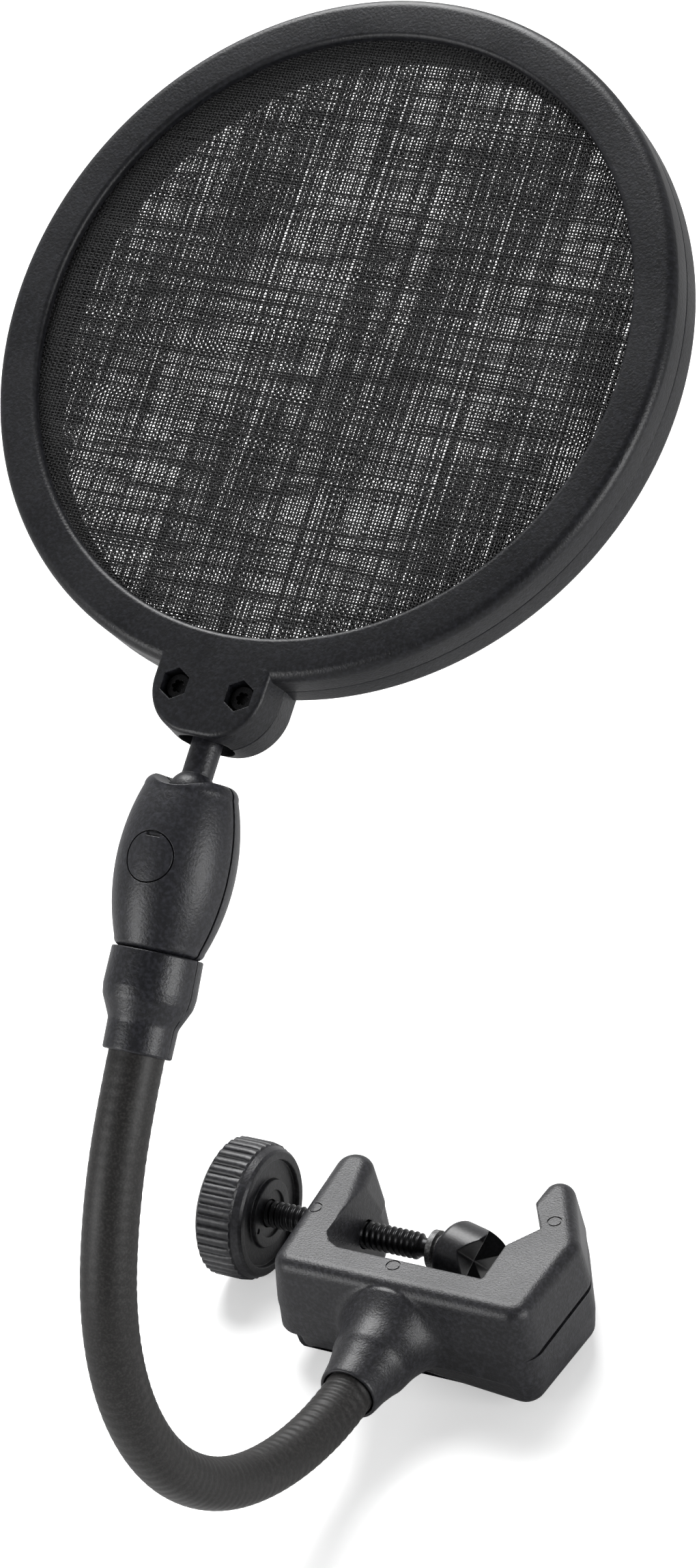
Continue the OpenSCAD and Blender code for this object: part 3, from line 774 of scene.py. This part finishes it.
def neck_point(distance):
    """Place (y, z) and heading in radians at a distance along the neck."""
    total = sum(STRETCH_LENS)
    if distance <= 0 or distance >= total:
        y, z, heading = PIVOTS[0] if distance <= 0 else PIVOTS[-1]
        extra = distance if distance <= 0 else distance - total
        angle = math.radians(heading)
        return y + math.cos(angle) * extra, z + math.sin(angle) * extra, angle
    for (y, z, heading), length, bend in zip(PIVOTS, STRETCH_LENS, STRETCH_TURNS):
        if distance <= length:
            break
        distance -= length
    before = math.radians(heading)
    after = math.radians(heading - bend * distance / length)
    radius = length / math.radians(bend)
    return (
        y + radius * (math.sin(before) - math.sin(after)),
        z + radius * (math.cos(after) - math.cos(before)),
        after,
    )



def sleeve_grid(steps_per_rib=10, sides=72):
    """Points of the whole ribbed sleeve, one row per ring, and each row's place."""
    rib_count = int((sum(STRETCH_LENS) + 2 * NECK_LEAD) / RIB_PITCH)
    start = -NECK_LEAD
    finish_at = sum(STRETCH_LENS) + NECK_LEAD
    places = np.linspace(start, finish_at, rib_count * steps_per_rib + 1)
    phi = np.linspace(0, 2 * math.pi, sides, endpoint=False)
    rows = []
    for k, place in enumerate(places):
        y, z, heading = neck_point(place)
        towards_centre = np.array([0, math.sin(heading), -math.cos(heading)])
        sideways = np.array([1, 0, 0])
        wave = (0.5 + 0.5 * math.cos(2 * math.pi * k / steps_per_rib)) ** 1.1
        near_mouth = math.exp(-max(place, 0) / 38)
        bend = 1 - 0.6 * max(place, 0) / finish_at
        inner = np.clip(np.sin(phi), 0, 1) ** 2
        depth = 0.04 + 0.16 * inner * bend + 0.2 * near_mouth * (0.5 + 0.5 * inner)
        uneven = 1 + 0.25 * math.sin(place * 0.7) * math.cos(place * 0.23)
        radius = NECK_R + 0.02 - depth * uneven * wave
        ring = (
            np.outer(radius * np.cos(phi), sideways)
            + np.outer(radius * np.sin(phi), towards_centre)
            + np.array([NECK_X, y, z])
        )
        rows.append(ring)
    return np.array(rows), places, steps_per_rib


def grid_normals(rows):
    """Unit normals of a grid of rings, taken from its neighbours' places."""
    along = np.gradient(rows, axis=0)
    around = np.roll(rows, -1, axis=1) - np.roll(rows, 1, axis=1)
    normal = np.cross(around, along)
    return normal / np.linalg.norm(normal, axis=2, keepdims=True)


def neck_sleeve():
    """Sleeve in six lengths, cut at rib valleys near the middles of the stretches."""
    rows, places, step = sleeve_grid()
    normals = grid_normals(rows)
    sides = rows.shape[1]
    ends = np.cumsum(STRETCH_LENS)
    cuts = [0]
    for k in range(1, 6):
        middle = ends[k - 1] + STRETCH_LENS[k] / 2
        cuts.append(int(round(np.argmin(abs(places - middle)) / step)) * step)
    cuts.append(len(rows) - 1)
    for k in range(6):
        part = rows[cuts[k]:cuts[k + 1] + 1]
        count = len(part)
        ring = np.arange(sides)
        onward = np.roll(ring, -1)
        quads = np.concatenate([
            np.stack([ring, onward, onward + sides, ring + sides], axis=1) + row * sides
            for row in range(count - 1)
        ])
        name = "neck_sleeve_length_%d" % (k + 1)
        mesh = quad_mesh(name, part.reshape(-1, 3), quads)
        facing = normals[cuts[k]:cuts[k + 1] + 1].reshape(-1, 3)
        outward = np.dot(facing[0], part[0, 0] - part[0].mean(axis=0)) > 0
        mesh.normals_split_custom_set_from_vertices([tuple(n if outward else -n) for n in facing])
        piece = add_object(name, mesh)
        mesh.materials.append(MATERIALS["sleeve_rubber"])
        stands_for = ["neck_sleeve_%d" % (k + 1)] + (["neck_sleeve_7"] if k == 5 else [])
        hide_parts(*stands_for)
        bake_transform(piece)


# ------------------------------------------------------------ clamp

def grown_copy(name, meshes, voxel, passes):
    """One closed skin grown over meshes, its edges eased by smoothing."""
    work = bmesh.new()
    for mesh in meshes:
        work.from_mesh(mesh)
    bmesh.ops.remove_doubles(work, verts=work.verts, dist=0.002 * MM)
    merged = bpy.data.meshes.new(name)
    work.to_mesh(merged)
    work.free()
    obj = add_object(name, merged)
    skin = obj.modifiers.new("skin", "REMESH")
    skin.mode = "VOXEL"
    skin.voxel_size = voxel * MM
    ease = obj.modifiers.new("ease", "SMOOTH")
    ease.factor = 0.5
    ease.iterations = passes
    bake(obj)
    return obj


def overlapping_lower_half():
    """Copy of the lower half that reaches past the seam, so the two fuse."""
    mesh = nodes["clamp_lower"].data.copy()
    for vertex in mesh.vertices:
        if abs(vertex.co.z - SEAM_Z * MM) < 0.05 * MM:
            vertex.co.z += 0.3 * MM
    return mesh


def boss_flare():
    """Wide fillet that carries the boss into the front wall."""
    root_r = 16.5
    tip_r = 9.3
    depth = 12
    steps = 14
    outline = [(0, -3), (root_r, -3)]
    for k in range(steps + 1):
        angle = math.pi / 2 * k / steps
        radius = root_r - (root_r - tip_r) * math.sin(angle)
        outline.append((radius, depth * (1 - math.cos(angle))))
    outline.append((0, depth))
    place = moved_to(NECK_X, SPINE_FRONT + 1.2, SEAM_Z) @ turned_by("X", 90)
    flare = lathe("flare", outline, place, 96)

    def flatten(points):
        """Keeps the flare within the wall's height."""
        across = points[:, 0] - NECK_X
        rise = points[:, 2] - SEAM_Z
        radius = np.maximum(np.hypot(across, rise), 1e-6)
        upright = (rise / radius) ** 2
        spread = (1 - upright) + upright * np.where(rise > 0, 0.2, 0.33)
        eased = np.where(radius > tip_r, tip_r + (radius - tip_r) * spread, radius)
        points[:, 0] = NECK_X + across * eased / radius
        points[:, 2] = SEAM_Z + rise * eased / radius
        return points

    reshape(flare, flatten)
    return flare


def clamp_halves():
    """Upper and lower half, cut from one skin at the seam."""
    flare = boss_flare()
    parts = [nodes["clamp_upper"].data, overlapping_lower_half(), flare.data]
    body = grown_copy("clamp", parts, 0.3, 5)
    bpy.data.objects.remove(flare)
    ease_where(body, front_blend_weight, 90)
    reshape(body, undercut_foot)
    for name, low_z, high_z in (
        ("clamp_upper", SEAM_Z, CLAMP_T + 10),
        ("clamp_lower", -10, SEAM_Z),
    ):
        half = add_object(name.replace("clamp_", "clamp_shell_"), body.data.copy())
        combine(half, box_tool((-80, -90, low_z), (80, 60, high_z)), "INTERSECT")
        if name == "clamp_upper":
            reshape(half, ease_seam_on_right)
            sink_moulding_rings(half)
        fit_out(half, "clamp", [name], 40)
    bpy.data.objects.remove(body)


def sink_moulding_rings(half):
    """Three fine circles that moulding leaves in the top face."""
    inner_r = 1.4
    outer_r = 1.75
    depth = 0.3
    outline = [(inner_r, -depth), (outer_r, -depth), (outer_r, 1), (inner_r, 1)]
    for x, y in ((-30, -9), (-3, -22), (25.6, 3)):
        cut(half, lathe("tool", outline, moved_to(x, y, CLAMP_T), 48))


def front_blend_weight(points):
    """Where the front wall runs on without a seam and the boss flows into it."""
    x, y, z = points.T
    front = ramp(-y, 26.8, 2)
    band = ramp(-np.abs(z - SEAM_Z), -5, 2)
    away_from_axis = np.hypot(x - NECK_X, z - SEAM_Z)
    root = ramp(away_from_axis, 7.2, 1.2) * ramp(-away_from_axis, -20, 3)
    near_wall = ramp(-y, 27.5, 1.5) * ramp(y, -47, 4)
    below_top = ramp(-z, 2.4 - CLAMP_T, 1.5)
    left = ramp(-x, 31.5, 1)
    not_boss = ramp(y, -43, 4)
    return np.maximum(np.maximum(front, left) * band * not_boss, root * near_wall * below_top)


def ease_where(obj, weigh, passes):
    """Smooths the mesh where weigh(points) says so."""
    mesh = obj.data
    flat = np.empty(len(mesh.vertices) * 3, dtype=np.float32)
    mesh.vertices.foreach_get("co", flat)
    weights = weigh(flat.reshape(-1, 3).astype(float) / MM)
    group = obj.vertex_groups.new(name="ease")
    levels = 10
    steps = np.round(weights * levels).astype(int)
    for level in range(1, levels + 1):
        group.add(np.nonzero(steps == level)[0].tolist(), level / levels, "REPLACE")
    ease = obj.modifiers.new("ease", "SMOOTH")
    ease.factor = 0.5
    ease.iterations = passes
    ease.vertex_group = "ease"
    bake(obj)
    obj.vertex_groups.clear()


def ease_seam_on_right(points):
    """Draws the upper half's lower edge in along the right wall."""
    band = 1.6
    depth = 0.9
    rise = ramp(points[:, 2], SEAM_Z, band)
    near_wall = ramp(points[:, 0], 27, 4) * ramp(points[:, 1], -29, 5)
    points[:, 0] -= depth * near_wall * (1 - rise) ** 2
    return points


def undercut_foot(points):
    """Steps the foot in under the front wall and the left wall."""
    ledge_z = 6.9
    ledge_drop = 1.2
    step = ramp(-points[:, 2], -ledge_z, ledge_drop)
    step = step * step * (3 - 2 * step)
    slope = ramp(-points[:, 2], -ledge_z, ledge_z)
    front = ramp(-points[:, 1], 26.5, 2) * ramp(-points[:, 0], -30, 26)
    left = ramp(-points[:, 0], 27.5, 3)
    points[:, 1] += front * (1.6 * step + 1.4 * slope)
    points[:, 0] += left * (2.4 * step + 0.6 * slope)
    return points


# ------------------------------------------------------------ clamp screw

def thumb_knob():
    """Knob with rounded ribs round its rim and a recessed inner face."""
    rib_h = 0.45
    groove_h = 0.3
    ribbed_from_r = 14
    rim = KNOB_R - rib_h
    recess_z = KNOB_LEN - 1.2
    hub_z = KNOB_LEN - 0.6
    bore_r = ROD_R + 0.1

    def ribs(angle, radius, x):
        if radius < ribbed_from_r:
            return radius
        grip = ramp(x, 1.2, 0.6) * ramp(-x, -10.4, 0.4)
        crest = abs(math.cos(angle * KNOB_RIBS / 2)) ** 0.55
        return radius + grip * ((rib_h + groove_h) * crest - groove_h)

    outline = [Vector((0, 0))]
    outline += fillet([
        (0, 0, 0), (13.2, 0, 0.8), (14.6, 0.5, 0.6), (rim, 1.6, 0.5), (rim, 10.3, 0.2),
        (15.75, 10.6, 0.2), (15.2, 12.2, 0.4), (14.6, KNOB_LEN, 0.3), (12.9, KNOB_LEN, 0.3),
        (12.7, recess_z, 0.2), (8.3, recess_z, 0.3), (8.1, KNOB_LEN, 0.3),
        (5.7, KNOB_LEN, 0.2), (5.6, hub_z, 0.1), (bore_r, hub_z, 0.1),
        (bore_r, 4, 0), (0, 4, 0),
    ])[1:]
    dense = [outline[0]]
    for a, b in zip(outline, outline[1:]):
        parts = max(1, int((b - a).length / 1.2))
        dense += [a.lerp(b, k / parts) for k in range(1, parts + 1)]
    place = ALONG_SCREW @ moved_to(0, 0, KNOB_X)
    knob = lathe("thumb_wheel", dense, place, KNOB_RIBS * 12, ribs)
    gate_mark = rod_tool(place @ moved_to(0, -6.8, 0), 0.7, KNOB_LEN - 0.25, KNOB_LEN + 1, 32)
    cut(knob, gate_mark)
    fit_out(knob, "knob", ["thumb_knob"])


def screw_rod():
    """Rod with a true helical thread, a plain neck and a ball end."""
    root_r = ROD_R - 0.5
    head_r = 5.7
    head_len = 3.8
    neck_r = 2.2
    end_r = 2.6
    steps = 14
    sides = 56
    start = KNOB_X + KNOB_LEN - 0.7
    count = int((ROD_END - start) / ROD_PITCH * steps)
    xs = [start + (ROD_END - start) * k / count for k in range(count + 1)]
    head_end = ROD_START + head_len
    outline = [(0, ROD_START), (head_r, ROD_START), (head_r, head_end), (ROD_R, head_end)]
    outline += [(ROD_R, start - 0.3)] + [(ROD_R, x) for x in xs]
    outline += [(neck_r, ROD_END + 0.4), (neck_r, -1.35)]
    for angle in np.linspace(0.9, math.pi - 0.05, 16):
        outline.append((end_r * math.sin(angle), 1 - end_r * math.cos(angle)))
    outline += [(0, 1 + end_r)]

    def thread(angle, radius, x):
        if radius != ROD_R or x < start:
            return radius
        phase = (x / ROD_PITCH - angle / (2 * math.pi)) % 1
        flank = 1 - abs(2 * phase - 1)
        height = min(1, max(0, flank * 1.35 - 0.12))
        lead_in = min(1, max(0, (ROD_END - x) / 1.0))
        return root_r - 0.45 * (1 - lead_in) + (ROD_R - root_r) * height * lead_in

    rod = lathe("clamp_screw_rod", outline, ALONG_SCREW, sides, thread)
    fit_out(rod, "knob", ["threaded_rod"], 50)


def grooved_pad():
    """Swivel pad with its edges eased."""
    pad = grown_copy("grooved_pad", [nodes["swivel_pad"].data], 0.16, 4)
    fit_out(pad, "pad", ["swivel_pad"], 60)


# ------------------------------------------------------------ setting

def floor_material():
    """Pale paper that looks lighter to the camera than the light it throws back."""
    mat = bpy.data.materials.new("paper_floor")
    mat.use_nodes = True
    shader = mat.node_tree.nodes["Principled BSDF"]
    seen = mat.node_tree.nodes.new("ShaderNodeLightPath").outputs["Is Camera Ray"]
    paper = blend_colour(mat.node_tree, seen, (0.5, 0.5, 0.5), (0.93, 0.93, 0.93))
    mat.node_tree.links.new(paper, shader.inputs["Base Color"])
    glow = remap(mat.node_tree, seen, 0.05, 0.42, 0, 1)
    mat.node_tree.links.new(glow, shader.inputs["Emission Strength"])
    shader.inputs["Roughness"].default_value = 0.8
    shader.inputs["Emission Color"].default_value = (1, 1, 1, 1)
    return mat


def floor():
    reach = 6
    height = cad_box[0].z - 0.2 * MM
    mesh = bpy.data.meshes.new("paper_floor")
    turns = ((-1, -1), (1, -1), (1, 1), (-1, 1))
    corners = [(a * reach, b * reach, height) for a, b in turns]
    mesh.from_pydata(corners, [], [(0, 1, 2, 3)])
    plane = add_object("paper_floor", mesh)
    mesh.materials.append(floor_material())


def soft_light(name, place, target, size, power):
    light = bpy.data.lights.new(name, "AREA")
    light.shape = "DISK"
    light.size = size
    light.energy = power
    lamp = bpy.data.objects.new(name, light)
    lamp.location = place
    lamp.rotation_euler = (Vector(target) - Vector(place)).to_track_quat("-Z", "Y").to_euler()
    bpy.context.scene.collection.objects.link(lamp)


def studio():
    """White room with soft boxes to the left, to the right and overhead."""
    world = bpy.data.worlds.new("white_room")
    world.use_nodes = True
    tree = world.node_tree
    direction = tree.nodes.new("ShaderNodeTexCoord").outputs["Generated"]
    facing = tree.nodes.new("ShaderNodeVectorMath")
    facing.operation = "DOT_PRODUCT"
    facing.inputs[1].default_value = VIEW_BACK
    tree.links.new(direction, facing.inputs[0])
    room = remap(tree, facing.outputs["Value"], 0.62, 0.1, -0.7, 0.6)
    seen = tree.nodes.new("ShaderNodeLightPath").outputs["Is Camera Ray"]
    tree.links.new(maths(tree, "MAXIMUM", room, seen), tree.nodes["Background"].inputs["Strength"])
    tree.nodes["Background"].inputs["Color"].default_value = (1, 1, 1, 1)
    bpy.context.scene.world = world
    middle = (0, -0.03, 0.12)
    soft_light("overhead_box", (-0.45, 0.6, 1.15), middle, 0.9, 22)
    soft_light("front_left_box", (-0.75, -1.2, 0.42), middle, 0.8, 9)
    soft_light("right_box", (1.2, -0.2, 0.35), middle, 0.7, 9)


def camera():
    """Camera above and to the right of the front, with a slight roll."""
    back = VIEW_BACK.normalized()
    right = Vector((0.876, 0.459, -0.148))
    right = (right - back * right.dot(back)).normalized()
    up = back.cross(right)
    lens = bpy.data.cameras.new("camera")
    lens.lens = 103.48
    lens.sensor_width = 36
    lens.clip_start = 0.05
    view = bpy.data.objects.new("camera", lens)
    view.matrix_world = Matrix((
        (right.x, up.x, back.x, 437.64 * MM),
        (right.y, up.y, back.y, -677.72 * MM),
        (right.z, up.z, back.z, 669.84 * MM),
        (0, 0, 0, 1),
    ))
    bpy.context.scene.collection.objects.link(view)
    bpy.context.scene.camera = view


paint_cad_nodes()
ring_half("hoop_front_half", "front_ring", 1)
ring_half("hoop_rear_half", "rear_ring", -1)
fabric_disc("fabric_front", "front_mesh", 1, 0.15, (1, 1))
fabric_disc("fabric_rear", "rear_mesh", -1, -0.25, (1, 1.17))
ball_link()
barrel_shells()
screw_cover()
neck_collar()
neck_sleeve()
clamp_halves()
thumb_knob()
screw_rod()
grooved_pad()
floor()
studio()
camera()
bpy.context.scene.view_settings.view_transform = "Standard"
